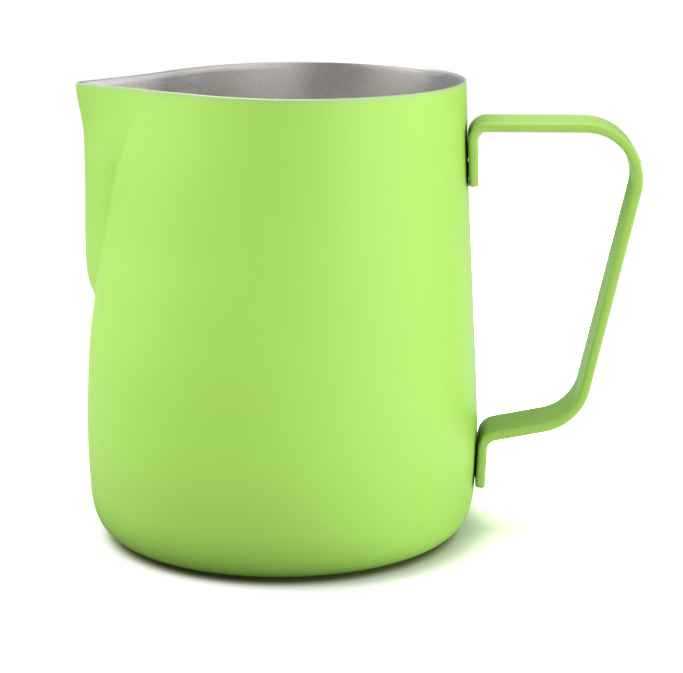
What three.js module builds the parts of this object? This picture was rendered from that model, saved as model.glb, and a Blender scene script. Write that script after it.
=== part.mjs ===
// Milk frothing pitcher, about 600 ml.
//
// A deep-drawn stainless steel cup with a pressed pouring spout, powder coated
// outside up to the shoulder of the lip and bare inside, with a bent flat-strap
// handle that is spot welded to it at two feet.
//
// Millimetres. Origin at the centre of the base, on the surface it stands on.
// +Z up, handle towards +X, spout towards -X, mirror symmetric about Y = 0.

import * as THREE from "three";

// ---------------------------------------------------------------- dimensions

const HEIGHT = 108.0; // base to lip top, handle side
const WALL = 1.05; // steel of the cup
const COAT = 0.15; // powder coat, cup and handle
const LIP_RISE = 0.55; // height of the rounded lip, over the coat
const WALL_TOP = HEIGHT - LIP_RISE; // where the wall rounds over into the lip

const BASE_FLAT_R = 33.0; // flat part of the underside
const CORNER_Z = 13.5; // where the base corner runs into the wall
// Bezier controls of the base corner
const CORNER_BASE_CONTROL = { r: 42.4, z: 0 };
const CORNER_WALL_CONTROL = { r: 45.7, z: 2.8 };
// outside radius of the wall by height, [z, r]
const WALL_R = [
  [CORNER_Z, 46.0], [19.0, 46.31], [27.0, 46.4], [43.2, 45.71],
  [64.8, 44.57], [86.4, 43.48], [HEIGHT, 42.69],
];

// Spout. Angles are degrees from the spout's own plane (-X).
const SPOUT_LOW = 42.0; // nothing of the spout shows below this height
const RIM_DIP = 1.22; // the rim is this much lower at the tip
const RIM_DIP_ANGLE = 66; // the dip has died out at this angle
const RIM_DIP_POWER = 1.6; // how sharply the dip deepens towards the tip
const FLANK_FULL = 46; // flanks are drawn in fully up to this angle
const FLANK_END = 115; // and the cup is round again from this one
const RIDGE_ROUND = 2.5; // rounding of the ridge, as an angle
// how far the flanks are drawn in, [z, depth]
const FLANK_DEPTH = [
  [SPOUT_LOW, 0], [47, 0.15], [52, 0.5], [57, 1.0], [61, 1.4],
  [72.6, 2.8], [88, 4.4], [102, 6.6], [HEIGHT, 7.5],
];
// radius of the ridge that runs down from the tip, [z, r]
const RIDGE_R = [
  [57.3, 0], [59.0, 45.44], [60.9, 45.96], [62.8, 46.3], [66.0, 46.44],
  [70.5, 46.47], [79.1, 46.3], [87.6, 46.1], [92.0, 46.0], [95.1, 46.08],
  [97.0, 46.29], [100.7, 46.9], [104.4, 47.52], [HEIGHT, 47.82],
];
// half angle of the spout's valley, [z, angle]
const VALLEY_ANGLE = [[57, 8.5], [61, 10], [72.6, 14], [88, 20], [102, 31], [HEIGHT, 38]];
// how sharply the valley meets the flank, [z, power]
const VALLEY_POWER = [[57, 1.0], [88, 1.03], [95, 1.35], [101, 1.9], [HEIGHT, 2.7]];

// Handle strap
const STRAP_W = 15.8; // over the coat
const STRAP_T = 2.3; // over the coat
const STRAP_EDGE = 0.9; // rounding of its long edges, over the coat
const EDGE_STEPS = 3; // facets of each rounded edge
const FOOT_BEND = 3.3; // middle-line radius of the two foot bends
const GRIP_BEND = 12.1; // middle-line radius of the two grip bends
// Middle line in the plane Y = 0. Corners have a bend radius and its number of steps.
const STRAP_LINE = [
  { x: 44.76, z: 83.95 }, // end of the upper foot
  { x: 44.20, z: 97.89, radius: FOOT_BEND, steps: 5 },
  { x: 85.05, z: 97.89, radius: GRIP_BEND, steps: 8 },
  { x: 69.55, z: 29.02, radius: GRIP_BEND, steps: 6 },
  { x: 47.779, z: 24.66, radius: FOOT_BEND, steps: 5 },
  { x: 47.141, z: 12.25 }, // end of the lower foot
];
const UPPER_FOOT = STRAP_LINE.slice(0, 2);
const LOWER_FOOT = STRAP_LINE.slice(-2);

// Spot welds, two on each foot, with a bare window in both coats round each one
const UPPER_WELDS = [91.6, 87.2]; // centre heights, top first
const LOWER_WELDS = [19.8, 15.4];
const WELD_R = 1.6; // nugget radius
const WELD_SIDES = 16;
const WELD_FIT = 0.02; // clearance at each end of a nugget
const WINDOW_HALF_H = 1.9; // half height of a window
const WINDOW_HALF_W = 3.0; // half width of a window in the strap's coat
const HANDLE_FACET = 4.0; // degrees: half width of the flat under the feet

// -------------------------------------------------------------------- helpers

const RAD = Math.PI / 180;
const clamp01 = (value) => Math.min(1, Math.max(0, value));

// straight-line table lookup, [x, y] rows in rising x, held level past both ends
function lookUp(rows, x) {
  if (x <= rows[0][0]) return rows[0][1];
  for (let i = 1; i < rows.length; i++) {
    if (x <= rows[i][0]) {
      const [x0, y0] = rows[i - 1];
      const [x1, y1] = rows[i];
      return y0 + ((y1 - y0) * (x - x0)) / (x1 - x0);
    }
  }
  return rows[rows.length - 1][1];
}

// natural cubic spline through [x, y] rows, as a function of x
function spline(rows) {
  const count = rows.length;
  const xs = rows.map(([x]) => x);
  const ys = rows.map(([, y]) => y);
  // second derivatives at the rows, from a tridiagonal system
  const second = new Array(count).fill(0);
  const factor = new Array(count).fill(0);
  const offset = new Array(count).fill(0);
  for (let i = 1; i < count - 1; i++) {
    const before = xs[i] - xs[i - 1];
    const after = xs[i + 1] - xs[i];
    const slopeChange = (ys[i + 1] - ys[i]) / after - (ys[i] - ys[i - 1]) / before;
    const pivot = 2 * (before + after) - before * factor[i - 1];
    factor[i] = after / pivot;
    offset[i] = (6 * slopeChange - before * offset[i - 1]) / pivot;
  }
  for (let i = count - 2; i > 0; i--) second[i] = offset[i] - factor[i] * second[i + 1];
  return (x) => {
    let i = 1;
    while (i < count - 1 && x > xs[i]) i++;
    const span = xs[i] - xs[i - 1];
    const low = (xs[i] - x) / span;
    const high = (x - xs[i - 1]) / span;
    const bend = (low ** 3 - low) * second[i - 1] + (high ** 3 - high) * second[i];
    return low * ys[i - 1] + high * ys[i] + (bend * span * span) / 6;
  };
}

// A mesh under construction. Rings are closed loops of point indices, and a
// grid is a list of rings of equal length. Flip turns the faces the other way.
class Body {
  points = [];
  faces = [];

  add(point) {
    this.points.push(point);
    return this.points.length - 1;
  }

  tri(a, b, c, flip) {
    this.faces.push(...(flip ? [a, c, b] : [a, b, c]));
  }

  quad(a, b, c, d, flip) {
    this.tri(a, b, c, flip);
    this.tri(a, c, d, flip);
  }

  fan(centre, ring, flip) {
    ring.forEach((point, j) => this.tri(centre, point, ring[(j + 1) % ring.length], flip));
  }

  // quads between neighbouring rings, left out at the holes, [ring, column]
  cover(grid, flip, holes = []) {
    for (let i = 0; i + 1 < grid.length; i++) {
      const [ring, next] = [grid[i], grid[i + 1]];
      for (let j = 0; j < ring.length; j++) {
        if (holes.some(([row, column]) => row === i && column === j)) continue;
        const k = (j + 1) % ring.length;
        this.quad(ring[j], ring[k], next[k], next[j], flip);
      }
    }
  }

  // a grid closed by a fan at each end
  tube({ grid, start, end }, flip, holes) {
    this.cover(grid, flip, holes);
    this.fan(start, grid[0], !flip);
    this.fan(end, grid[grid.length - 1], flip);
  }

  // the four sides of each hole, between an outer and an inner grid
  holeSides(outer, inner, flip, holes) {
    for (const [row, column] of holes) {
      const corners = [
        [row, column], [row, column + 1], [row + 1, column + 1], [row + 1, column],
      ];
      corners.forEach(([i, j], side) => {
        const [k, l] = corners[(side + 1) % 4];
        this.quad(outer[i][j], outer[k][l], inner[k][l], inner[i][j], flip);
      });
    }
  }

  geometry() {
    const geometry = new THREE.BufferGeometry();
    const coordinates = this.points.flatMap((p) => [p.x, p.y, p.z]);
    geometry.setAttribute("position", new THREE.Float32BufferAttribute(coordinates, 3));
    geometry.setIndex(this.faces);
    geometry.computeVertexNormals();
    return geometry;
  }
}

// lower and upper edges of a foot's weld windows, from the bottom up
const windowEdges = (welds) =>
  [...welds].reverse().flatMap((z) => [z - WINDOW_HALF_H, z + WINDOW_HALF_H]);

// ------------------------------------------------------------ the cup's shape

const wallRadius = spline(WALL_R);

// outside radius of the cup, at an angle from the spout's plane
function cupRadius(angle, z) {
  const round = wallRadius(z);
  if (z <= SPOUT_LOW) return round;
  const away = Math.abs(angle);
  const fade = clamp01((away - FLANK_FULL) / (FLANK_END - FLANK_FULL));
  const depth = lookUp(FLANK_DEPTH, z);
  const flank = round - depth * 0.5 * (1 + Math.cos(Math.PI * fade));
  const rise = Math.max(0, lookUp(RIDGE_R, z) - (round - depth));
  const fromRidge = Math.sqrt(away ** 2 + RIDGE_ROUND ** 2) - RIDGE_ROUND;
  const bump = clamp01(1 - fromRidge / lookUp(VALLEY_ANGLE, z)) ** lookUp(VALLEY_POWER, z);
  return flank + rise * bump;
}

// height of a wall point once the rim dips towards the tip
function cupHeight(angle, z) {
  if (z <= SPOUT_LOW) return z;
  const dip = RIM_DIP * clamp01(1 - Math.abs(angle) / RIM_DIP_ANGLE) ** RIM_DIP_POWER;
  return z - (dip * (z - SPOUT_LOW)) / (HEIGHT - SPOUT_LOW);
}

// radius and height on the base corner, for t from 0 at the base to 1 at the wall
function cornerPoint(t) {
  const atFlat = (1 - t) ** 3;
  const atBaseControl = 3 * t * (1 - t) ** 2;
  const atWallControl = 3 * t * t * (1 - t);
  const atWall = t ** 3;
  return {
    r: atFlat * BASE_FLAT_R + atBaseControl * CORNER_BASE_CONTROL.r +
      atWallControl * CORNER_WALL_CONTROL.r + atWall * wallRadius(CORNER_Z),
    z: atBaseControl * CORNER_BASE_CONTROL.z + atWallControl * CORNER_WALL_CONTROL.z +
      atWall * CORNER_Z,
  };
}

// Places along a generator line: it runs from the centre of the base (0) out to
// the flat's edge, round the corner and up the wall, one unit per millimetre.
const FLAT_EDGE = 1;
const WALL_FOOT = 2;
const wallPlace = (z) => WALL_FOOT + (z - CORNER_Z);

function profile(angle, place) {
  if (place <= FLAT_EDGE) return { r: BASE_FLAT_R * place, z: 0 };
  if (place <= WALL_FOOT) return cornerPoint(place - FLAT_EDGE);
  const z = cupHeight(angle, CORNER_Z + (place - WALL_FOOT));
  return { r: cupRadius(angle, z), z };
}

// point on the outside of the coat
function outside(angle, place) {
  const { r, z } = profile(angle, place);
  const bearing = (180 - angle) * RAD; // from +X
  return new THREE.Vector3(r * Math.cos(bearing), r * Math.sin(bearing), z);
}

// outward normal, from differences over a small step either way
const NORMAL_STEP = { place: 0.02, angle: 0.2 };
function normal(angle, place) {
  if (place <= FLAT_EDGE) return new THREE.Vector3(0, 0, -1);
  const along = outside(angle, place + NORMAL_STEP.place)
    .sub(outside(angle, Math.max(FLAT_EDGE, place - NORMAL_STEP.place)));
  const round = outside(angle + NORMAL_STEP.angle, place)
    .sub(outside(angle - NORMAL_STEP.angle, place));
  return along.cross(round).normalize();
}

// the surface at a depth under the outside of the coat
function surface(angle, place, depth) {
  const point = outside(angle, place);
  if (depth > 0) point.addScaledVector(normal(angle, place), -depth);
  return point;
}

// ----------------------------------------------------------- the cup's pieces

// columns round the cup, as angles from the spout's plane; the middle two leave
// one flat facet under the handle's feet
const SIDE_ANGLES = [
  2.5, 5.5, 9, 13, 17.5, 22.5, 28, 34, 41, 49, 58, 67,
  76, 85, 94, 103, 112, 121, 130, 139, 148, 157, 166, 180 - HANDLE_FACET,
];
const ANGLES = [0, ...SIDE_ANGLES, ...SIDE_ANGLES.map((angle) => -angle).reverse()];
const HANDLE_COLUMN = ANGLES.indexOf(180 - HANDLE_FACET);

// rows up the outside, shared by the coat and the steel under it; the set drops
// the lowest window edge, which lies on the wall's foot
const OUTER_WALL_HEIGHTS = new Set([
  CORNER_Z, ...windowEdges(LOWER_WELDS), 30, 42, 49, 54, 57.6, 60, 62.5, 66, 72, 79,
  ...windowEdges(UPPER_WELDS), 98, 102.5, WALL_TOP,
]);
const OUTER_ROWS = [
  0.5, FLAT_EDGE, 1.22, 1.42, 1.62, 1.82,
  ...[...OUTER_WALL_HEIGHTS].map(wallPlace),
];
// rows up the bare inside
const INNER_ROWS = [
  0.5, FLAT_EDGE, 1.25, 1.5, 1.78,
  ...[CORNER_Z, 21, 33, 46, 54, 60, 66, 74, 84, 94, 101, WALL_TOP].map(wallPlace),
];

// weld windows in the cup's coat, [row, column]; each is one row high
const CUP_WINDOWS = [...LOWER_WELDS, ...UPPER_WELDS]
  .map((z) => [OUTER_ROWS.indexOf(wallPlace(z - WINDOW_HALF_H)), HANDLE_COLUMN]);

// Rings on the lip are placed by degrees from the outside over the top, at 90.
const COATED_LIP = [22, 45]; // the coat ends at the last of these
const BARE_LIP = [90, 135];

// points of one surface, added to a body: its pole and its grid of rows
function addSheet(body, rows, depth) {
  const pole = body.add(surface(0, 0, depth));
  const grid = rows.map((row) => ANGLES.map((angle) => body.add(surface(angle, row, depth))));
  return { pole, grid, top: grid[grid.length - 1] };
}

function coverSheet(body, { pole, grid }, inward, holes) {
  body.fan(pole, grid[0], inward);
  body.cover(grid, !inward, holes);
}

// A ring of points on the lip, which is half an ellipse over the wall; cover is
// the thickness of coat on the steel.
function addLipRing(body, degrees, cover) {
  const place = wallPlace(WALL_TOP);
  return ANGLES.map((angle) => {
    const outer = surface(angle, place, COAT);
    const inner = surface(angle, place, COAT + WALL);
    const middle = outer.clone().add(inner).multiplyScalar(0.5);
    const arm = outer.sub(middle);
    arm.multiplyScalar(Math.cos(degrees * RAD) * (1 + cover / (WALL / 2)));
    middle.add(arm);
    middle.z += (LIP_RISE - COAT + cover) * Math.sin(degrees * RAD);
    return body.add(middle);
  });
}

function cupShell() {
  const body = new Body();
  const outer = addSheet(body, OUTER_ROWS, COAT);
  const inner = addSheet(body, INNER_ROWS, COAT + WALL);
  coverSheet(body, outer, false);
  coverSheet(body, inner, true);
  const lip = [...COATED_LIP, ...BARE_LIP].map((degrees) => addLipRing(body, degrees, 0));
  body.cover([outer.top, ...lip, inner.top], true);
  return body.geometry();
}

function cupCoat() {
  const body = new Body();
  const outer = addSheet(body, OUTER_ROWS, 0);
  const inner = addSheet(body, OUTER_ROWS, COAT);
  coverSheet(body, outer, false, CUP_WINDOWS);
  coverSheet(body, inner, true, CUP_WINDOWS);
  // over the outer shoulder of the lip and back underneath
  const over = COATED_LIP.map((degrees) => addLipRing(body, degrees, COAT));
  const under = [...COATED_LIP].reverse().map((degrees) => addLipRing(body, degrees, 0));
  body.cover([outer.top, ...over, ...under, inner.top], true);
  body.holeSides(outer.grid, inner.grid, true, CUP_WINDOWS);
  return body.geometry();
}

// ------------------------------------------------------------------ the strap

// Stations on the middle line are { x, z, tx, tz }, with the tangent.

// unit direction of a straight, as [x, z]
function direction(from, to) {
  const dx = to.x - from.x;
  const dz = to.z - from.z;
  const length = Math.hypot(dx, dz);
  return [dx / length, dz / length];
}

function turned([x, z], angle) {
  const cos = Math.cos(angle);
  const sin = Math.sin(angle);
  return [x * cos - z * sin, x * sin + z * cos];
}

// stations round the arc that rounds a corner, between two directions
function bendStations({ x, z, radius, steps }, before, after) {
  const [bx, bz] = before;
  const [ax, az] = after;
  const turn = Math.acos(bx * ax + bz * az);
  const side = Math.sign(bx * az - bz * ax); // +1 turns left
  const setback = radius * Math.tan(turn / 2);
  const arm = [bz * side * radius, -bx * side * radius]; // centre to arc start
  const centreX = x - bx * setback - arm[0];
  const centreZ = z - bz * setback - arm[1];
  return Array.from({ length: steps + 1 }, (_, i) => {
    const angle = (side * turn * i) / steps;
    const [dx, dz] = turned(arm, angle);
    const [tx, tz] = turned(before, angle);
    return { x: centreX + dx, z: centreZ + dz, tx, tz };
  });
}

function strapStations() {
  const directions = STRAP_LINE.slice(1).map((to, i) => direction(STRAP_LINE[i], to));
  // a station on a foot, at a height
  const onFoot = ([from], [tx, tz], z) => ({ x: from.x + (tx * (z - from.z)) / tz, z, tx, tz });
  const first = directions[0];
  const last = directions[directions.length - 1];
  return [
    onFoot(UPPER_FOOT, first, UPPER_FOOT[0].z),
    ...windowEdges(UPPER_WELDS).map((z) => onFoot(UPPER_FOOT, first, z)),
    ...STRAP_LINE.slice(1, -1)
      .flatMap((corner, i) => bendStations(corner, directions[i], directions[i + 1])),
    ...windowEdges(LOWER_WELDS).reverse().map((z) => onFoot(LOWER_FOOT, last, z)),
    onFoot(LOWER_FOOT, last, LOWER_FOOT[1].z),
  ];
}

const STATIONS = strapStations();

// Ring of the strap's section as [y, n]: y across the strap, n along the
// normal on the left of travel. The left face looks at the cup on the upper
// foot and the right face on the lower one, and each has two points that
// bound the weld windows.
const LEFT_FACE = 0; // first window point of each face
const RIGHT_FACE = 2 + 2 * (EDGE_STEPS + 1);
function section(inset) {
  const halfWidth = STRAP_W / 2 - inset;
  const halfThickness = STRAP_T / 2 - inset;
  const edge = STRAP_EDGE - inset;
  const roundedEdge = (ySide, nSide, from) =>
    Array.from({ length: EDGE_STEPS + 1 }, (_, i) => {
      const angle = (from + (90 / EDGE_STEPS) * i) * RAD;
      return [
        ySide * (halfWidth - edge) + edge * Math.cos(angle),
        nSide * (halfThickness - edge) + edge * Math.sin(angle),
      ];
    });
  return [
    [WINDOW_HALF_W, halfThickness], [-WINDOW_HALF_W, halfThickness],
    ...roundedEdge(-1, 1, 90),
    ...roundedEdge(-1, -1, 180),
    [-WINDOW_HALF_W, -halfThickness], [WINDOW_HALF_W, -halfThickness],
    ...roundedEdge(1, -1, 270),
    ...roundedEdge(1, 1, 0),
  ];
}

// where the strap's coat is bare behind the feet: [first station, ring point]
const STRAP_WINDOWS = [
  [1, LEFT_FACE], [3, LEFT_FACE],
  [STATIONS.length - 5, RIGHT_FACE], [STATIONS.length - 3, RIGHT_FACE],
];

// points of the strap's surface at an inset under the coat, ends included
function addSweep(body, inset) {
  const ring = section(inset);
  const last = STATIONS.length - 1;
  const stations = STATIONS.map(({ x, z, tx, tz }, i) => {
    const shift = i === 0 ? inset : i === last ? -inset : 0;
    return { x: x + tx * shift, z: z + tz * shift, tx, tz };
  });
  const grid = stations.map(({ x, z, tx, tz }) =>
    ring.map(([y, n]) => body.add(new THREE.Vector3(x - tz * n, y, z + tx * n))));
  const centre = ({ x, z }) => body.add(new THREE.Vector3(x, 0, z));
  return { grid, start: centre(stations[0]), end: centre(stations[last]) };
}

function strapSteel() {
  const body = new Body();
  body.tube(addSweep(body, COAT), false);
  return body.geometry();
}

function strapCoat() {
  const body = new Body();
  const outer = addSweep(body, 0);
  const inner = addSweep(body, COAT);
  body.tube(outer, false, STRAP_WINDOWS);
  body.tube(inner, true, STRAP_WINDOWS);
  body.holeSides(outer.grid, inner.grid, false, STRAP_WINDOWS);
  return body.geometry();
}

// ------------------------------------------------------------------ the welds

// steel facet of the cup under the feet, [z, x]
const FACET_LINE = OUTER_ROWS.filter((row) => row >= WALL_FOOT).map((row) => {
  const point = surface(180 - HANDLE_FACET, row, COAT);
  return [point.z, point.x];
});

// steel face of the strap that looks at the cup, as x at height z
function strapFaceX(z, [from, to]) {
  const rise = to.z - from.z;
  const length = Math.hypot(to.x - from.x, rise);
  const middle = from.x + ((to.x - from.x) * (z - from.z)) / rise;
  return middle - ((STRAP_T / 2 - COAT) * length) / Math.abs(rise);
}

// a round nugget from the cup's steel to the strap's
function nugget(centreZ, foot) {
  const body = new Body();
  const addNear = (y, z) =>
    body.add(new THREE.Vector3(lookUp(FACET_LINE, z) + WELD_FIT, y, z));
  const addFar = (y, z) =>
    body.add(new THREE.Vector3(strapFaceX(z, foot) - WELD_FIT, y, z));
  const near = [];
  const far = [];
  for (let i = 0; i < WELD_SIDES; i++) {
    const angle = (2 * Math.PI * i) / WELD_SIDES;
    const y = WELD_R * Math.cos(angle);
    const z = centreZ + WELD_R * Math.sin(angle);
    near.push(addNear(y, z));
    far.push(addFar(y, z));
  }
  const start = addNear(0, centreZ);
  const end = addFar(0, centreZ);
  body.tube({ grid: [near, far], start, end }, false);
  return body.geometry();
}

// ------------------------------------------------------------------ materials

const steel = ({ color, roughness }) =>
  new THREE.MeshStandardMaterial({ color, metalness: 1.0, roughness });
const powderCoat = ({ color }) =>
  new THREE.MeshStandardMaterial({ color, metalness: 0.0, roughness: 0.42 });
const weldSteel = ({ color }) => steel({ color, roughness: 0.55 });

// --------------------------------------------------------------- the assembly

const group = new THREE.Group();

function place(name, geometry, material) {
  const mesh = new THREE.Mesh(geometry, material);
  mesh.name = name;
  group.add(mesh);
}

place("body_shell", cupShell(), steel({ color: 0xb9b4ae, roughness: 0.34 }));
place("body_coating", cupCoat(), powderCoat({ color: 0x9fe04a }));
place("handle_strap", strapSteel(), steel({ color: 0xaaa6a1, roughness: 0.4 }));
place("handle_coating", strapCoat(), powderCoat({ color: 0x9ade46 }));

const WELDS = [
  { name: "upper_weld_top", z: UPPER_WELDS[0], foot: UPPER_FOOT, color: 0x8f8b86 },
  { name: "upper_weld_bottom", z: UPPER_WELDS[1], foot: UPPER_FOOT, color: 0x8e8a85 },
  { name: "lower_weld_top", z: LOWER_WELDS[0], foot: LOWER_FOOT, color: 0x8d8984 },
  { name: "lower_weld_bottom", z: LOWER_WELDS[1], foot: LOWER_FOOT, color: 0x8c8883 },
];
for (const { name, z, foot, color } of WELDS) {
  place(name, nugget(z, foot), weldSteel({ color }));
}

export default group;
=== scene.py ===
# A milk frothing pitcher: a spun steel cup with a lime powder coat, a bent
# strap handle and four spot welds, on a white paper sweep. The shape functions
# work in millimetres in the CAD part's frame: base centre at the origin, +Z up,
# handle towards +X, spout towards -X. Blender gets metres.
import math

import bmesh
import bpy
import numpy as np
from mathutils import Matrix, Vector


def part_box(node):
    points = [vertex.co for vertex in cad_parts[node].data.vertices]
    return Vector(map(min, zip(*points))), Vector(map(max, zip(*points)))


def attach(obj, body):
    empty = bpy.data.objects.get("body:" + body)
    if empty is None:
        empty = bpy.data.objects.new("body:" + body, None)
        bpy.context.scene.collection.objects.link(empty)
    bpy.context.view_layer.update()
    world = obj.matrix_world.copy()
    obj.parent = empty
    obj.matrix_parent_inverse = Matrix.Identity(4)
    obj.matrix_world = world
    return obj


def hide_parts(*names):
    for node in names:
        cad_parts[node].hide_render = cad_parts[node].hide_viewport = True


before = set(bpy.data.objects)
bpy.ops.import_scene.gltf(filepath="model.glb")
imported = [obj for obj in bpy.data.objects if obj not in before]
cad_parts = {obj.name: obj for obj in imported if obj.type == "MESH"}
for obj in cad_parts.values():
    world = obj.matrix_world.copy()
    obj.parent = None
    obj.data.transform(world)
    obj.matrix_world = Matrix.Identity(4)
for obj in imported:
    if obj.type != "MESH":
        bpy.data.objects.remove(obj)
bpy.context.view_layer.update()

MM_PER_M = 1000

# -------------------------------------------------------------- cup dimensions
HEIGHT = 108.0
WALL, COAT = 1.05, 0.15                 # thickness of the steel and of the coat
LIP_BARE = 0.55                         # height of the lip's rounding
COAT_TOP = HEIGHT - LIP_BARE
COAT_END, COAT_THINS = 52.0, 14.0       # degrees over the lip: coat ends, starts to thin

# Base corner: a Bezier curve from the flat to the wall. Handles are (radius, z).
BASE_FLAT_R, CORNER_Z = 33.0, 13.5
FLAT_HANDLE, WALL_HANDLE = (42.4, 0.0), (45.7, 2.8)

# (z, radius) of the round wall
WALL_RADIUS = [(CORNER_Z, 46.0), (19.0, 46.31), (27.0, 46.4), (43.2, 45.71),
               (64.8, 44.57), (86.4, 43.48), (HEIGHT, 42.69)]

# The spout: flanks sunk into the wall, with a ridge down their middle.
# Angles are in degrees from the spout.
SPOUT_LOW, RIDGE_LOW = 42.0, 55.0
FLANK_FULL, FLANK_END = 46.0, 115.0     # full depth up to here, none beyond here
RIDGE_ROUND = 2.5                       # degrees of rounding on the crest
RIDGE_EASE = 0.1                        # softens the ridge's start at the nose
RIM_DIP, RIM_DIP_ANGLE, RIM_DIP_POWER = 1.22, 66.0, 1.6
# (z, depth of the flanks)
FLANK_DEPTH = [(SPOUT_LOW, 0), (47, 0.15), (52, 0.5), (57, 1.0), (61, 1.4),
               (72.6, 2.8), (88, 4.4), (102, 6.6), (HEIGHT, 7.5)]
# (z, radius of the crest)
RIDGE_RADIUS = [(RIDGE_LOW, 42.2), (57.3, 43.7), (59.0, 45.44), (60.9, 45.96), (62.8, 46.3),
                (66.0, 46.44), (70.5, 46.47), (79.1, 46.3), (87.6, 46.1),
                (92.0, 46.0), (95.1, 46.08), (97.0, 46.29), (100.7, 46.9),
                (104.4, 47.52), (HEIGHT, 47.82)]
# (z, angle from the crest to the valley beside it)
VALLEY_ANGLE = [(57, 8.5), (61, 10), (72.6, 14), (88, 20), (102, 31), (HEIGHT, 38)]
# (z, power of the ridge's cross-section)
RIDGE_POWER = [(57, 1.0), (88, 1.03), (95, 1.35), (101, 1.9), (HEIGHT, 2.7)]

# Mesh columns: RIDGE_COLS from crest to valley, SPREAD_COLS fanning out to
# SPREAD_END, then fixed angles round to the handle side.
RIDGE_COLS, SPREAD_COLS, SPREAD_END = 34, 34, 78.0
COLUMNS_LOW = 60.0                      # the columns stand straight below this z
BACK_ANGLES = np.concatenate([np.arange(80.5, 172, 2.4), [173.4, 175.2, 177.0, 178.5]])

# Ring places, in degrees over the lip from the outside
STEEL_LIP_RINGS = (10, 22, 36, 50, 64, 78, 92, 106, 120, 134, 148, 162, 172)
COAT_LIP_RINGS = (0, 8, 16, 24, 32, 38, 44, 48, 50.5)
COAT_UNDER_RINGS = (COAT_END, 44, 36, 28, 20, 12, 0)

# ------------------------------------------------- strap and weld dimensions
STRAP_W, STRAP_T, STRAP_EDGE = 15.8, 2.3, 0.9
END_ROUND, END_EASE = 1.6, 0.45         # plan corners and face edges at the strap ends
END_THIN = 0.92                         # how much of the easing the thickness takes
# (x, z) corners of the strap's middle line, from the upper foot to the lower
STRAP_LINE = [(44.76, 83.95), (44.20, 97.89), (85.05, 97.89),
              (69.55, 29.02), (47.779, 24.66), (47.141, 12.25)]
FOOT_BEND, GRIP_BEND = 3.3, 12.1
# (radius, arc steps) at the inner corners of that line
STRAP_BENDS = [(FOOT_BEND, 12), (GRIP_BEND, 22), (GRIP_BEND, 18), (FOOT_BEND, 12)]
STRAP_STEP = 0.9
# Stations near a strap end, as fractions of END_ROUND before spacing
END_STATIONS = np.array([0.0, 0.04, 0.13, 0.28, 0.48, 0.72, 1.0])

WELD_R, WELD_BEVEL, WELD_COLS = 1.6, 0.05, 40
WELD_END, WELD_WAIST = 0.93, 1.10       # radius ratios at the end faces and the waist


# ------------------------------------------------------------------ the curves
def smooth_table(rows):
    """Monotone cubic through the rows, flat beyond both ends."""
    x, y = np.array(rows, float).T
    width = np.diff(x)
    slope = np.diff(y) / width
    tangent = np.zeros(len(x))
    for i in range(1, len(x) - 1):
        if slope[i - 1] * slope[i] > 0:
            before, after = 2 * width[i] + width[i - 1], width[i] + 2 * width[i - 1]
            tangent[i] = (before + after) / (before / slope[i - 1] + after / slope[i])
    tangent[0], tangent[-1] = slope[0], slope[-1]

    def curve(place):
        place = np.clip(np.asarray(place, float), x[0], x[-1])
        i = np.clip(np.searchsorted(x, place) - 1, 0, len(x) - 2)
        part = (place - x[i]) / width[i]
        rest = 1 - part
        return ((1 + 2 * part) * rest ** 2 * y[i]
                + part * rest ** 2 * width[i] * tangent[i]
                + part * part * (3 - 2 * part) * y[i + 1]
                + part * part * (part - 1) * width[i] * tangent[i + 1])
    return curve


def natural_spline(rows):
    """Cubic spline through the rows with no curvature at its ends."""
    x, y = np.array(rows, float).T
    count = len(x)
    matrix, target = np.zeros((count, count)), np.zeros(count)
    matrix[0, 0] = matrix[-1, -1] = 1
    for i in range(1, count - 1):
        before, after = x[i] - x[i - 1], x[i + 1] - x[i]
        matrix[i, i - 1], matrix[i, i + 1] = before, after
        matrix[i, i] = 2 * (x[i + 1] - x[i - 1])
        target[i] = 6 * ((y[i + 1] - y[i]) / after - (y[i] - y[i - 1]) / before)
    bend = np.linalg.solve(matrix, target)

    def curve(place):
        place = np.asarray(place, float)
        i = np.clip(np.searchsorted(x, place), 1, count - 1)
        width = x[i] - x[i - 1]
        low, high = (x[i] - place) / width, (place - x[i - 1]) / width
        curved = (low ** 3 - low) * bend[i - 1] + (high ** 3 - high) * bend[i]
        return low * y[i - 1] + high * y[i] + curved * width * width / 6
    return curve


wall_radius = natural_spline(WALL_RADIUS)
flank_depth = smooth_table(FLANK_DEPTH)
ridge_radius = smooth_table(RIDGE_RADIUS)
valley_angle = smooth_table(VALLEY_ANGLE)
ridge_power = smooth_table(RIDGE_POWER)


# ------------------------------------------------------------- the cup surface
def cup_radius(angle, z):
    angle = np.abs(angle)
    base = wall_radius(z)
    fade = np.clip((angle - FLANK_FULL) / (FLANK_END - FLANK_FULL), 0, 1)
    depth = flank_depth(z)
    flank = base - depth * 0.5 * (1 + np.cos(np.pi * fade))
    rise = ridge_radius(z) - (base - depth)
    rise = 0.5 * (rise + np.sqrt(rise ** 2 + RIDGE_EASE ** 2)) - RIDGE_EASE / 2
    rise = np.where(z > RIDGE_LOW, np.maximum(rise, 0), 0)
    off_crest = np.sqrt(angle ** 2 + RIDGE_ROUND ** 2) - RIDGE_ROUND
    ridge = np.clip(1 - off_crest / valley_angle(z), 0, 1) ** ridge_power(z)
    return np.where(z <= SPOUT_LOW, base, flank + rise * ridge)


def cup_height(angle, z):
    """Lowers the rim beside and at the spout."""
    dip = RIM_DIP * np.clip(1 - np.abs(angle) / RIM_DIP_ANGLE, 0, 1) ** RIM_DIP_POWER
    return np.where(z <= SPOUT_LOW, z, z - dip * (z - SPOUT_LOW) / (HEIGHT - SPOUT_LOW))


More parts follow.
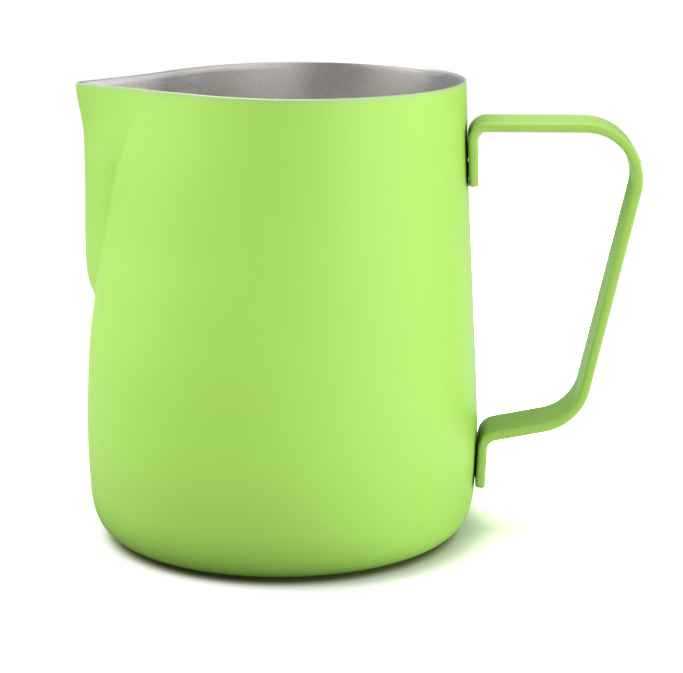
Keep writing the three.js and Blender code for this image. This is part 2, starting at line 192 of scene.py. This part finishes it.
def outside(angle, place):
    """Points of the coat's outside. angle: degrees from the spout. place: 0-1
    base flat, 1-2 base corner, then 2 plus the height above the corner."""
    angle, place = np.broadcast_arrays(np.asarray(angle, float), np.asarray(place, float))
    t = np.clip(place - 1, 0, 1)
    weights = (1 - t) ** 3, 3 * t * (1 - t) ** 2, 3 * t * t * (1 - t), t ** 3
    corner_r = (weights[0] * BASE_FLAT_R + weights[1] * FLAT_HANDLE[0]
                + weights[2] * WALL_HANDLE[0] + weights[3] * wall_radius(CORNER_Z))
    corner_z = weights[2] * WALL_HANDLE[1] + weights[3] * CORNER_Z
    wall_z = cup_height(angle, CORNER_Z + np.maximum(place - 2, 0))
    wall_r = cup_radius(angle, wall_z)
    radius = np.where(place <= 1, BASE_FLAT_R * place, np.where(place <= 2, corner_r, wall_r))
    z = np.where(place <= 1, 0.0, np.where(place <= 2, corner_z, wall_z))
    turn = np.radians(180 - angle)
    return np.stack([radius * np.cos(turn), radius * np.sin(turn), z], -1)


def wall_place(z):
    return 2 + (z - CORNER_Z)


def column_angles(z):
    """Angles of the mesh columns, which follow the valleys of the spout."""
    valley = float(valley_angle(np.clip(z, COLUMNS_LOW, HEIGHT)))
    part = np.linspace(0, 1, RIDGE_COLS + 1)
    ridge = valley * (0.55 * part + 0.45 * part * part)
    part = np.linspace(0, 1, SPREAD_COLS + 1)[1:]
    spread = valley + (SPREAD_END - valley) * (0.42 * part + 0.58 * part * part)
    half_turn = np.concatenate([ridge[1:], spread, BACK_ANGLES])
    return np.concatenate([[0.0], half_turn, [180.0], -half_turn[::-1]])


COLS = len(column_angles(HEIGHT))


def ring_points(place, depth):
    """One ring of the cup, sunk by depth square to the coat's outside."""
    angle = column_angles(CORNER_Z + max(0.0, place - 2))
    step, turn_step = 0.03, 0.15
    along = outside(angle, place + step) - outside(angle, max(place - step, 1))
    turn = outside(angle + turn_step, place) - outside(angle - turn_step, place)
    normal = np.cross(along, turn)
    normal /= np.maximum(np.linalg.norm(normal, axis=-1, keepdims=True), 1e-12)
    if place <= 1:
        normal[:] = (0, 0, -1)
    return outside(angle, place) - normal * depth


def lip_points(degrees, cover):
    """Ring on the rounded lip: 0 degrees is the outside, 90 the top and 180 the
    inside; cover is the coat's thickness there."""
    place = wall_place(COAT_TOP)
    outer, inner = ring_points(place, COAT), ring_points(place, COAT + WALL)
    middle, arm = (outer + inner) / 2, (outer - inner) / 2
    turn = math.radians(degrees)
    points = middle + arm * (math.cos(turn) * (1 + cover / (WALL / 2)))
    points[:, 2] += (LIP_BARE - COAT + cover) * math.sin(turn)
    return points


# ---------------------------------------------------------------- mesh building
class Skin:
    """Equal rings of points joined by quads, with poles where it closes. Each
    point has a lip value: 1 on the bare lip, 0 away from it."""

    def __init__(self, size):
        self.size, self.points, self.faces, self.lip = size, [], [], []

    def ring(self, points, lip=0.0):
        """Adds points and returns the index of the first."""
        start = len(self.points)
        self.points.extend(points)
        self.lip += [lip] * len(points)
        return start

    def join(self, rings, flip=False):
        for first, second in zip(rings, rings[1:]):
            if flip:
                first, second = second, first
            for j in range(self.size):
                k = (j + 1) % self.size
                self.faces.append((first + j, second + j, second + k, first + k))

    def pole(self, point, ring, flip=False):
        centre = self.ring([point])
        for j in range(self.size):
            k = (j + 1) % self.size
            self.faces.append((centre, ring + k, ring + j) if flip
                              else (centre, ring + j, ring + k))

    def tube(self, rings, start, end):
        """Joins the rings and closes both ends."""
        self.join(rings, flip=True)
        self.pole(start, rings[0])
        self.pole(end, rings[-1], flip=True)

    def build(self, name, material):
        mesh = bpy.data.meshes.new(name)
        mesh.from_pydata((np.array(self.points, float) / MM_PER_M).tolist(), [], self.faces)
        mesh.validate()
        mesh.update()
        mesh.polygons.foreach_set("use_smooth", [True] * len(mesh.polygons))
        obj = bpy.data.objects.new(name, mesh)
        bpy.context.scene.collection.objects.link(obj)
        mesh.materials.append(material)
        mesh.attributes.new("lip", "FLOAT", "POINT").data.foreach_set("value", self.lip)
        # turn every face outward
        shell = bmesh.new()
        shell.from_mesh(mesh)
        bmesh.ops.recalc_face_normals(shell, faces=shell.faces)
        shell.to_mesh(mesh)
        shell.free()
        mesh.update()
        return obj


# --------------------------------------------------------------------- the cup
def cup_places():
    """Ring places from the base up, closest round the nose of the ridge."""
    flat = [0.1, 0.25, 0.42, 0.6, 0.76, 0.88, 0.96, 1.0]
    corner = list(np.linspace(1.0, 2.0, 19)[1:])
    z = CORNER_Z
    wall = []
    while z < COAT_TOP - 0.9:
        z += 1.6 if z < 50 else (0.75 if z < 70 else 1.15)
        wall.append(z)
    if COAT_TOP - wall[-1] < 0.7:  # too near the lip
        wall.pop()
    return flat + corner + [wall_place(z) for z in wall]


def cup_sheet(skin, places, depth):
    return [skin.ring(ring_points(place, depth)) for place in places]


def cup_steel():
    skin = Skin(COLS)
    places = cup_places() + [wall_place(COAT_TOP)]
    outer = cup_sheet(skin, places, COAT)
    inner = cup_sheet(skin, places, COAT + WALL)
    skin.lip[inner[-1]:inner[-1] + COLS] = [0.75] * COLS
    skin.pole((0, 0, COAT), outer[0])
    over = [skin.ring(lip_points(degrees, 0.0), lip=1.0) for degrees in STEEL_LIP_RINGS]
    skin.join(outer + over + inner[::-1])
    skin.pole((0, 0, COAT + WALL), inner[0], flip=True)
    return skin


def cup_coat():
    """The coat thins over the lip and ends short of its top."""
    skin = Skin(COLS)
    places = cup_places()
    outer = cup_sheet(skin, places, 0.0)
    skin.pole((0, 0, 0), outer[0])
    over = []
    for degrees in COAT_LIP_RINGS:
        thinned = max(0.0, (degrees - COAT_THINS) / (COAT_END - COAT_THINS)) ** 2.2
        points = lip_points(degrees, COAT * (1 - thinned))
        over.append(skin.ring(points, lip=0.4 + 0.6 * degrees / COAT_END))
    under = [skin.ring(lip_points(degrees, 0.0), lip=1.0) for degrees in COAT_UNDER_RINGS]
    inner = cup_sheet(skin, places, COAT)
    skin.join(outer + over + under + inner[::-1])
    skin.pole((0, 0, COAT), inner[0], flip=True)
    return skin


# ------------------------------------------------------------------- the strap
def turned(vector, angle):
    cosine, sine = math.cos(angle), math.sin(angle)
    return np.array([vector[0] * cosine - vector[1] * sine,
                     vector[0] * sine + vector[1] * cosine])


def strap_path():
    """Points and tangents along the middle line, with the bends as arcs."""
    corners = np.array(STRAP_LINE)
    ways = np.diff(corners, axis=0)
    ways /= np.linalg.norm(ways, axis=1)[:, None]
    points, tangents = [corners[0]], [ways[0]]

    def straight(end, way):
        start = points[-1]
        count = max(1, int(round(np.linalg.norm(end - start) / STRAP_STEP)))
        for i in range(1, count + 1):
            points.append(start + (end - start) * i / count)
            tangents.append(way)

    for corner, way, next_way, (radius, steps) in zip(corners[1:], ways, ways[1:], STRAP_BENDS):
        bend = math.acos(float(way @ next_way))
        side = math.copysign(1, way[0] * next_way[1] - way[1] * next_way[0])
        start = corner - way * (radius * math.tan(bend / 2))
        straight(start, way)
        centre = start + np.array([-way[1], way[0]]) * side * radius
        for k in range(1, steps + 1):
            angle = side * bend * k / steps
            points.append(centre + turned(start - centre, angle))
            tangents.append(turned(way, angle))
    straight(corners[-1], ways[-1])
    return np.array(points), np.array(tangents)


def strap_section(inset):
    """Ring of (across, out) round the strap, with flat faces and round edges."""
    half_w, half_t, edge = STRAP_W / 2 - inset, STRAP_T / 2 - inset, STRAP_EDGE - inset
    ring = []
    for side_w, side_t, start in ((1, 1, 0), (-1, 1, 90), (-1, -1, 180), (1, -1, 270)):
        for k in range(9):
            angle = math.radians(start + 90 * k / 8)
            ring.append((side_w * (half_w - edge) + edge * math.cos(angle),
                         side_t * (half_t - edge) + edge * math.sin(angle)))
        if start in (0, 180):
            for part in np.linspace(1, -1, 15)[1:-1]:
                ring.append((side_w * (half_w - edge) * part, side_t * half_t))
    return np.array(ring)


def round_cut(radius, distance):
    """How far a quarter-round edge falls back at a distance from the end."""
    left = max(0.0, radius - distance)
    return radius - math.sqrt(radius ** 2 - left ** 2)


def strap_skin(inset):
    """The strap with rounded corners at its ends and eased end faces."""
    points, tangents = strap_path()
    lengths = np.linalg.norm(np.diff(points, axis=0), axis=1)
    run = np.concatenate([[0], np.cumsum(lengths)])
    total = run[-1]
    half_w, half_t = STRAP_W / 2 - inset, STRAP_T / 2 - inset

    def path_at(distance):
        i = int(np.clip(np.searchsorted(run, distance) - 1, 0, len(run) - 2))
        part = (distance - run[i]) / lengths[i]
        tangent = tangents[i] * (1 - part) + tangents[i + 1] * part
        point = points[i] * (1 - part) + points[i + 1] * part
        return point, tangent / np.linalg.norm(tangent)

    # (distance along the path, distance from the nearer end face); the middle
    # stations are all clear of the rounding
    near = inset + END_ROUND * END_STATIONS ** 1.6
    clear = END_ROUND + 0.2
    stations = [(d, d - inset) for d in near]
    stations += [(d, END_ROUND) for d in run[(run > clear) & (run < total - clear)]]
    stations += [(total - d, d - inset) for d in near[::-1]]

    section = strap_section(inset)
    skin = Skin(len(section))
    rings = []
    for distance, from_end in stations:
        cut = round_cut(END_ROUND, from_end)
        thin = END_THIN * round_cut(END_EASE, from_end)
        across = section[:, 0] * ((half_w - cut) / half_w)
        out = section[:, 1] * ((half_t - thin) / half_t)
        point, tangent = path_at(distance)
        rings.append(skin.ring(np.stack(
            [point[0] - tangent[1] * out, across, point[1] + tangent[0] * out], -1)))
    ends = [path_at(stations[i][0])[0] for i in (0, -1)]
    skin.tube(rings, *[(x, 0, z) for x, z in ends])
    return skin


# ------------------------------------------------------------------- the welds
def weld_skin(node):
    """A spot weld: a short, slightly uneven nugget along X, widest at its waist."""
    low, high = (np.array(corner) * MM_PER_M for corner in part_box(node))
    middle_x, middle_y, middle_z = (low + high) / 2
    start, end = low[0], high[0]
    profile = [(start, WELD_R * WELD_END), (start + WELD_BEVEL, WELD_R),
               (middle_x, WELD_R * WELD_WAIST),
               (end - WELD_BEVEL, WELD_R), (end, WELD_R * WELD_END)]
    turn = np.linspace(0, 2 * np.pi, WELD_COLS, endpoint=False)
    uneven = 1 + 0.035 * np.sin(3 * turn + 1.0) + 0.02 * np.sin(7 * turn)
    skin = Skin(WELD_COLS)
    rings = []
    for x, radius in profile:
        rings.append(skin.ring(np.stack([np.full(WELD_COLS, x),
                                         middle_y + radius * uneven * np.cos(turn),
                                         middle_z + radius * uneven * np.sin(turn)], -1)))
    skin.tube(rings, (start, middle_y, middle_z), (end, middle_y, middle_z))
    return skin


# ---------------------------------------------------------------- shader nodes
class Nodes:
    """The node tree of a material or world, written as short lines."""

    def __init__(self, owner):
        self.owner = owner
        owner.use_nodes = True
        self.tree = owner.node_tree
        self.tree.nodes.clear()

    def add(self, kind, links=None, **values):
        node = self.tree.nodes.new(kind)
        for key, value in values.items():
            setattr(node, key, value)
        for key, value in (links or {}).items():
            if hasattr(value, "is_output"):
                self.tree.links.new(value, node.inputs[key])
            else:
                node.inputs[key].default_value = value
        return node

    def math(self, operation, *inputs, clamp=False):
        links = dict(enumerate((*inputs, 0.0, 0.0)[:3]))
        return self.add("ShaderNodeMath", links, operation=operation, use_clamp=clamp).outputs[0]

    def vary(self, noise, amount, base):
        """base, shifted up and down by a noise centred on 0.5."""
        return self.math("MULTIPLY_ADD", self.math("SUBTRACT", noise, 0.5), amount, base)

    def scaled(self, vector, factor):
        return self.add("ShaderNodeVectorMath", {0: vector, "Scale": factor},
                        operation="SCALE").outputs["Vector"]

    def combine(self, x, y, z):
        return self.add("ShaderNodeCombineXYZ", {"X": x, "Y": y, "Z": z}).outputs[0]

    def noise(self, vector, scale, detail=2.0, rough=0.5):
        return self.add("ShaderNodeTexNoise", {"Vector": vector, "Scale": scale, "Detail": detail,
                                               "Roughness": rough}).outputs["Fac"]

    def mix(self, amount, first, second):
        return self.add("ShaderNodeMix", {0: amount, 6: first, 7: second},
                        data_type="RGBA", blend_type="MIX").outputs[2]

    def bump(self, height, distance, strength, under=None):
        """A bump layer over another; distance is in metres."""
        links = {"Height": height, "Distance": distance, "Strength": strength}
        if under is not None:
            links["Normal"] = under
        return self.add("ShaderNodeBump", links).outputs["Normal"]

    def position(self):
        """Place on the object in millimetres."""
        return self.scaled(self.add("ShaderNodeTexCoord").outputs["Object"], float(MM_PER_M))

    def lip(self):
        return self.add("ShaderNodeAttribute", attribute_name="lip").outputs["Fac"]

    def done(self, shader):
        self.add("ShaderNodeOutputMaterial", {"Surface": shader.outputs[0]})
        return self.owner


# ------------------------------------------------------------------- materials
COAT_COLOUR = (0.406, 0.722, 0.122)
COAT_SHINE = 0.30
CLOUD_DARKEN = (0.955, 0.968, 0.90)     # darkest cloud, as a share of the colour
# the coat's colour over the lip: partly thin coat, partly painted highlight
THIN_COAT_AND_HIGHLIGHT_COLOUR = (0.43, 0.56, 0.33, 1)
SCRATCH_COLOUR = (0.95, 0.94, 0.93, 1)
STEEL_LIP_COLOUR = (0.68, 0.663, 0.643, 1)
WELD_DARK, WELD_LIGHT = (0.30, 0.27, 0.24, 1), (0.48, 0.45, 0.43, 1)


def darker_coat(share):
    return (*[channel * share for channel in COAT_COLOUR], 1)


def powder_coat(name, painted_shade_tint=(1.0, 1.0, 1.0)):
    """Satin lime powder coat: even colour with the faint orange peel, pinholes and pigment specks
    that sprayed and baked powder has. Painted shade darkens tight gaps, the pits and, through the
    tint, a whole copy of the coat; the lip gets a paler colour that is partly painted highlight."""
    nodes = Nodes(bpy.data.materials.new(name))
    place = nodes.position()
    # painted shade: the tint scales the coat's colour, giving a darker, less saturated copy where
    # it is not 1
    low = tuple(c * t * k for c, t, k in zip(COAT_COLOUR, painted_shade_tint, CLOUD_DARKEN))
    high = tuple(c * t for c, t in zip(COAT_COLOUR, painted_shade_tint))
    cloud = nodes.noise(place, scale=0.055, detail=3.0, rough=0.55)
    colour = nodes.mix(cloud, (*low, 1), (*high, 1))
    fine = nodes.noise(place, scale=2.6, rough=0.6)
    speckle = nodes.math("MULTIPLY", nodes.math("SUBTRACT", fine, 0.5), 0.12, clamp=True)
    colour = nodes.mix(speckle, colour, darker_coat(0.80))
    # sparse pinholes: a random size per cell, and the smallest vanish
    dots = nodes.add("ShaderNodeTexVoronoi", {"Vector": place, "Scale": 0.23, "Randomness": 1.0},
                     feature="F1")
    pick = nodes.add("ShaderNodeSeparateColor", {"Color": dots.outputs["Color"]}).outputs[0]
    size = nodes.math("SUBTRACT", nodes.math("MULTIPLY", pick, 0.030), 0.0135)
    pit = nodes.math("LESS_THAN", dots.outputs["Distance"], size)
    # painted shade: the pits are painted darker, down to 0.45 of the colour
    colour = nodes.mix(nodes.math("MULTIPLY", pit, 0.45), colour, darker_coat(0.45))
    # the coat thins as it runs out over the lip and is painted paler there: partly the thin coat,
    # partly painted highlight on the lip's shoulder
    colour = nodes.mix(nodes.lip(), colour, THIN_COAT_AND_HIGHLIGHT_COLOUR)
    # painted shade: tight gaps are painted darker, down to 0.35 of the colour
    painted_gap_shade = nodes.add("ShaderNodeAmbientOcclusion", {"Distance": 0.0022}, samples=6)
    colour = nodes.scaled(colour, nodes.math("MULTIPLY_ADD", painted_gap_shade.outputs["AO"], 0.65, 0.35))
    peel = nodes.noise(place, scale=0.75)
    grit = nodes.noise(place, scale=5.5, detail=3.0, rough=0.6)
    # roughness 0.33, plus up to 0.07 from the clouds and 0.10 from the grit
    rough = nodes.math("ADD", nodes.math("MULTIPLY", cloud, 0.07),
                       nodes.math("MULTIPLY_ADD", grit, 0.10, 0.33))
    normal = nodes.bump(peel, distance=0.00007, strength=0.45)
    normal = nodes.bump(grit, distance=0.00003, strength=0.50, under=normal)
    normal = nodes.bump(nodes.math("MULTIPLY", pit, -1.0), distance=0.00004, strength=0.6,
                        under=normal)
    return nodes.done(nodes.add("ShaderNodeBsdfPrincipled", {
        "Base Color": colour, "Roughness": rough, "Normal": normal,
        "IOR": 1.5, "Specular IOR Level": COAT_SHINE}))


def spun_steel(name, colour=(0.82, 0.803, 0.789), rough=0.36, grain=1.0, aniso=0.6, scratch=1.0):
    """Stainless steel with the ring grain of spinning and brushing, a satin
    sparkle, soft mottling, and a few fine scratches."""
    nodes = Nodes(bpy.data.materials.new(name))
    place = nodes.position()
    x, y, z = nodes.add("ShaderNodeSeparateXYZ", {"Vector": place}).outputs
    radius = nodes.math("SQRT", nodes.math("ADD", nodes.math("MULTIPLY", x, x),
                                           nodes.math("MULTIPLY", y, y)))
    # unit vector round the axis, so that the grain has no seam
    cosine = nodes.math("DIVIDE", x, nodes.math("ADD", radius, 0.01))
    sine = nodes.math("DIVIDE", y, nodes.math("ADD", radius, 0.01))

    def ring_noise(turns, out, up, detail, rough):
        """Noise that runs long round the cup and short across it."""
        vector = nodes.combine(
            nodes.math("MULTIPLY_ADD", radius, out, nodes.math("MULTIPLY", cosine, turns)),
            nodes.math("MULTIPLY", sine, turns), nodes.math("MULTIPLY", z, up))
        return nodes.noise(vector, scale=1.0, detail=detail, rough=rough)

    lines = ring_noise(turns=9.0, out=2.6, up=3.6, detail=4.0, rough=0.70)
    satin = ring_noise(turns=46.0, out=2.4, up=2.2, detail=3.0, rough=0.75)
    bands = ring_noise(turns=2.0, out=0.30, up=0.42, detail=3.0, rough=0.55)
    mottle = nodes.noise(place, scale=0.085, detail=3.0, rough=0.55)
    shade = nodes.math("MULTIPLY", nodes.math("SUBTRACT", lines, 0.5), 0.26 * grain)
    shade = nodes.vary(satin, amount=0.46 * grain, base=shade)
    shade = nodes.vary(mottle, amount=0.10, base=shade)
    shade = nodes.vary(bands, amount=0.10, base=shade)
    tinted = nodes.scaled(colour, nodes.math("ADD", 1.0, shade))
    # scratches: thin slanted streaks where a stretched noise peaks
    spread = nodes.combine(nodes.math("MULTIPLY", cosine, 44.0), z,
                           nodes.math("MULTIPLY", sine, 44.0))
    slant = nodes.add("ShaderNodeMapping", {"Vector": spread, "Rotation": (0, 0, 0.16),
                                            "Scale": (0.05, 1.6, 0.05)}).outputs[0]
    streaks = nodes.noise(slant, scale=1.0, detail=1.0)
    scratches = nodes.math("MULTIPLY", nodes.math("GREATER_THAN", streaks, 0.745), scratch)
    tinted = nodes.mix(nodes.math("MULTIPLY", scratches, 0.35), tinted, SCRATCH_COLOUR)
    roughness = nodes.vary(lines, amount=0.16 * grain, base=rough)
    roughness = nodes.vary(mottle, amount=0.08, base=roughness)
    # the lip is duller: 0.22 rougher
    lip = nodes.lip()
    tinted = nodes.mix(lip, tinted, STEEL_LIP_COLOUR)
    roughness = nodes.math("MULTIPLY_ADD", lip, 0.22, roughness)
    normal = nodes.bump(bands, distance=0.00010, strength=0.22)
    normal = nodes.bump(lines, distance=0.00005, strength=0.40 * grain, under=normal)
    normal = nodes.bump(satin, distance=0.00004, strength=0.45 * grain, under=normal)
    normal = nodes.bump(scratches, distance=0.00002, strength=0.7, under=normal)
    tangent = nodes.add("ShaderNodeTangent", direction_type="RADIAL", axis="Z").outputs[0]
    return nodes.done(nodes.add("ShaderNodeBsdfPrincipled", {
        "Base Color": tinted, "Metallic": 1.0, "Roughness": roughness, "Normal": normal,
        "Anisotropic": aniso, "Anisotropic Rotation": 0.25, "Tangent": tangent}))


def weld_steel(name):
    """Dark mottled steel, roughness 0.35 to 0.60."""
    nodes = Nodes(bpy.data.materials.new(name))
    place = nodes.position()
    mottle = nodes.noise(place, scale=1.1, detail=3.0, rough=0.6)
    pitting = nodes.noise(place, scale=2.0, detail=3.0, rough=0.6)
    return nodes.done(nodes.add("ShaderNodeBsdfPrincipled", {
        "Base Color": nodes.mix(mottle, WELD_DARK, WELD_LIGHT), "Metallic": 1.0,
        "Roughness": nodes.math("MULTIPLY_ADD", mottle, 0.25, 0.35),
        "Normal": nodes.bump(pitting, distance=0.00008, strength=0.7)}))


coat_green = powder_coat("lime_powder_coat")
# painted shade: the handle's coat is a darker, less saturated copy of the cup's
handle_green_painted_shade = powder_coat("lime_powder_coat_handle_painted_shade", painted_shade_tint=(0.935, 0.855, 1.03))
steel_cup = spun_steel("spun_steel")
steel_strap = spun_steel("strap_steel", colour=(0.60, 0.58, 0.56), grain=0.6, aniso=0.3,
                         scratch=0.5)
steel_weld = weld_steel("weld_metal")

# ------------------------------------------------------------------ the pieces
# (object, skin, material, CAD node it replaces, material slot)
PIECES = [
    ("cup_steel", cup_steel(), steel_cup, "body_shell", "bare_steel"),
    ("cup_coat", cup_coat(), coat_green, "body_coating", "powder_coat"),
    ("strap_core", strap_skin(COAT), steel_strap, "handle_strap", "strap_steel"),
    ("strap_coat", strap_skin(0.0), handle_green_painted_shade, "handle_coating", "handle_powder_coat"),
]
for weld in ("upper_weld_top", "upper_weld_bottom", "lower_weld_top", "lower_weld_bottom"):
    PIECES.append((weld + "_nugget", weld_skin(weld), steel_weld, weld, "weld_metal"))
for name, skin, material, node, slot in PIECES:
    piece = skin.build(name, material)
    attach(piece, "root")
    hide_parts(node)

# ------------------------------------------------------------------- the floor
FLOOR_R, FLOOR_SIDES = 0.62, 96         # metres
# painted shade: less light is thrown back beside the cup than far off
FLOOR_NEAR_PAINTED_SHADE, FLOOR_FAR = 0.20, 0.56      # light thrown back beside the cup and far off
# painted shadow: the first tint colours the contact shadow painted on the floor; the second is the
# paper's own tint
PAINTED_SHADOW_TINT, PAPER_TINT = (1.05, 1.10, 0.44, 1), (1.0, 1.0, 0.985, 1)


def floor_material():
    """Matt white paper. The camera sees a painted contact shadow where the base meets it, painted
    light and shade just beyond and overexposed paper further off; what it throws back on to the
    object is set apart, with painted shade close to the cup and painted light on the handle side."""
    nodes = Nodes(bpy.data.materials.new("paper_sweep_painted_shadow"))
    place = nodes.position()
    grain = nodes.noise(place, scale=0.9, detail=3.0, rough=0.6)
    tone = nodes.math("MULTIPLY_ADD", grain, 0.02, 0.98)
    reach = nodes.add("ShaderNodeVectorMath", {0: place}, operation="LENGTH").outputs["Value"]
    across = nodes.add("ShaderNodeSeparateXYZ", {"Vector": place}).outputs[0]

    def ease(value, over, to):
        """Smooth step between the values in to, over a span in millimetres."""
        return nodes.add("ShaderNodeMapRange", {
            "Value": value, "From Min": over[0], "From Max": over[1],
            "To Min": to[0], "To Max": to[1]}, interpolation_type="SMOOTHSTEP").outputs[0]

    # painted shadow: the camera sees the floor painted dark where the base meets it, painted
    # lighter on the handle side and a little darker on the spout side just beyond, and overexposed
    # further off
    painted_contact_shadow = ease(reach, over=(39.3, 43.5), to=(0.24, 0.99))
    near = nodes.math("MULTIPLY", ease(reach, over=(43.4, 55.0), to=(0.0, 1.0)),
                      ease(across, over=(5.0, 50.0), to=(-0.12, 1.05)))
    seen_with_painted_shadow = nodes.math("ADD", nodes.math("ADD", painted_contact_shadow, near),
                      ease(reach, over=(56.0, 92.0), to=(0.0, 1.6)))
    # painted shadow: the contact shadow is tinted olive, fading to the paper's own tint
    painted_shade_tint = nodes.mix(ease(reach, over=(38.6, 43.4), to=(0.0, 1.0)), PAINTED_SHADOW_TINT, PAPER_TINT)
    # painted light: the handle side throws back more; close to the cup less is thrown back, as
    # painted shade
    bounce_painted_light_and_shade = nodes.math("MULTIPLY", ease(reach, over=(46.0, 95.0), to=(FLOOR_NEAR_PAINTED_SHADE, FLOOR_FAR)),
                        ease(across, over=(0.0, 55.0), to=(1.0, 1.75)))
    # painted light: more is thrown back close to the cup on the handle side
    painted_close_light = nodes.math("MULTIPLY", ease(reach, over=(52.0, 84.0), to=(1.0, 0.0)),
                       ease(across, over=(14.0, 44.0), to=(0.0, 0.55)))
    bounce_painted_light_and_shade = nodes.math("ADD", bounce_painted_light_and_shade, painted_close_light)
    camera_ray = nodes.add("ShaderNodeLightPath").outputs["Is Camera Ray"]
    gain = nodes.math("ADD", nodes.math("MULTIPLY", camera_ray, seen_with_painted_shadow),
                      nodes.math("MULTIPLY", nodes.math("SUBTRACT", 1.0, camera_ray), bounce_painted_light_and_shade))
    return nodes.done(nodes.add("ShaderNodeBsdfDiffuse", {
        "Color": nodes.scaled(painted_shade_tint, nodes.math("MULTIPLY", tone, gain)), "Roughness": 0.3,
        "Normal": nodes.bump(grain, distance=0.00008, strength=0.2)}))


def build_floor():
    mesh = bpy.data.meshes.new("floor")
    rim = [(FLOOR_R * math.cos(turn), FLOOR_R * math.sin(turn), 0.0)
           for turn in np.linspace(0, 2 * np.pi, FLOOR_SIDES, endpoint=False)]
    mesh.from_pydata(rim, [], [tuple(range(FLOOR_SIDES))])
    floor = bpy.data.objects.new("floor", mesh)
    bpy.context.scene.collection.objects.link(floor)
    mesh.materials.append(floor_material())


build_floor()

# ------------------------------------------------------------------ the studio
# Smooth patches of light, far away: (azimuth, height, tightness, strength).
# Angles in degrees; azimuth 0 is -Y, the camera side, and 90 is the handle side.
SOFT_BOXES = [
    (-90, 4, 8, 1.50), (30, 4, 8, 1.25), (60, 4, 8, 1.62), (90, 4, 8, 2.25),
    (-120, 42, 8, 0.52), (60, 42, 8, 0.40), (180, 8, 8, 0.45),
    (-90, 52, 10, 5.80), (0, 90, 20, 3.90),
]


def studio_world():
    """Lights the object with the soft boxes, and shows the camera plain white."""
    world = bpy.data.worlds.new("studio")
    bpy.context.scene.world = world
    nodes = Nodes(world)
    way = nodes.add("ShaderNodeVectorMath", {
        0: nodes.add("ShaderNodeTexCoord").outputs["Generated"]}, operation="NORMALIZE").outputs[0]
    total = 0.0
    for azimuth, height, tightness, strength in SOFT_BOXES:
        turn, lift = math.radians(azimuth), math.radians(height)
        centre = (math.sin(turn) * math.cos(lift), -math.cos(turn) * math.cos(lift),
                  math.sin(lift))
        facing = nodes.add("ShaderNodeVectorMath", {0: way, 1: centre}, operation="DOT_PRODUCT")
        front = nodes.add("ShaderNodeMath", {0: facing.outputs["Value"], 1: 0.0},
                          operation="MAXIMUM").outputs[0]
        patch = nodes.add("ShaderNodeMath", {0: front, 1: tightness},
                          operation="POWER").outputs[0]
        total = nodes.math("MULTIPLY_ADD", patch, strength, total)
    light = nodes.add("ShaderNodeBackground", {0: total}).outputs[0]
    white = nodes.add("ShaderNodeBackground", {0: (1.0, 1.0, 1.0, 1.0)}).outputs[0]
    camera_ray = nodes.add("ShaderNodeLightPath").outputs["Is Camera Ray"]
    shown = nodes.add("ShaderNodeMixShader", {0: camera_ray, 1: light, 2: white}).outputs[0]
    nodes.add("ShaderNodeOutputWorld", {0: shown})


studio_world()

# ------------------------------------------------------------------ the camera
CAMERA_PLACE = (0.041794, -0.477709, 0.159065)
CAMERA_AIM = (-0.0564841176, 0.9720197540, -0.2280069719)


def build_camera():
    lens = bpy.data.cameras.new("camera")
    lens.sensor_fit = "HORIZONTAL"
    lens.sensor_width = 36.0
    lens.lens = 109.56
    lens.clip_start, lens.clip_end = 0.01, 50.0
    camera = bpy.data.objects.new("camera", lens)
    forward = Vector(CAMERA_AIM).normalized()
    right = forward.cross(Vector((0, 0, 1))).normalized()
    up = right.cross(forward)
    pose = Matrix((right, up, -forward)).transposed().to_4x4()
    pose.translation = Vector(CAMERA_PLACE)
    camera.matrix_world = pose
    bpy.context.scene.collection.objects.link(camera)
    bpy.context.scene.camera = camera


build_camera()

view = bpy.context.scene.view_settings
view.view_transform = "Standard"
view.look = "None"
view.exposure = 0.0
view.gamma = 1.0
